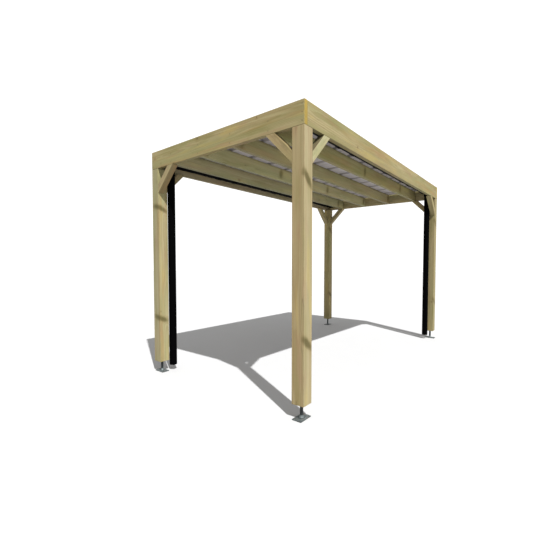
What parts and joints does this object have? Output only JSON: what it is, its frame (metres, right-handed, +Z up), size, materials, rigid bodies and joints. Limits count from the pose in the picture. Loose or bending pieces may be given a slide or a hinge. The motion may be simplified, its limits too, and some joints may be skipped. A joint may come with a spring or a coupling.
{
  "type": "open timber carport",
  "caption": "Open-sided flat-roofed timber carport: square posts on raised steel feet, deep rails with knee braces, joists under a ribbed sheet, and side gutters with downpipes.",
  "frame": {"origin": "on the floor at the middle of the frame, in both length and width", "axes": "+X along the long sides towards the back end, +Y across the width towards the left side, +Z up"},
  "size_m": [4.03, 2.146, 2.543],
  "materials": {
    "timber": "pressure-treated softwood, planed, dry and matt",
    "foot_steel": "dark grey weathered galvanised steel",
    "roof_steel": "grey coated ribbed sheet, satin",
    "black_plastic": "black rainwater plastic, low sheen"
  },
  "bodies": {
    "root": {"post_front_right": "timber", "post_front_left": "timber", "post_back_right": "timber", "post_back_left": "timber", "foot_front_right": "foot_steel", "foot_front_left": "foot_steel", "foot_back_right": "foot_steel", "foot_back_left": "foot_steel", "rail_front": "timber", "rail_back": "timber", "rail_right": "timber", "rail_left": "timber", "knee_end_front_right": "timber", "knee_end_front_left": "timber", "knee_end_back_right": "timber", "knee_end_back_left": "timber", "knee_side_front_right": "timber", "knee_side_front_left": "timber", "knee_side_back_right": "timber", "knee_side_back_left": "timber", "joist_right_outer": "timber", "joist_right_inner": "timber", "joist_left_inner": "timber", "joist_left_outer": "timber", "roof_sheet": "roof_steel", "gutter_right": "black_plastic", "gutter_left": "black_plastic", "gutter_clips_right": "black_plastic", "gutter_clips_left": "black_plastic", "downpipe_right": "black_plastic", "downpipe_left": "black_plastic"}
  },
  "joints": []
}
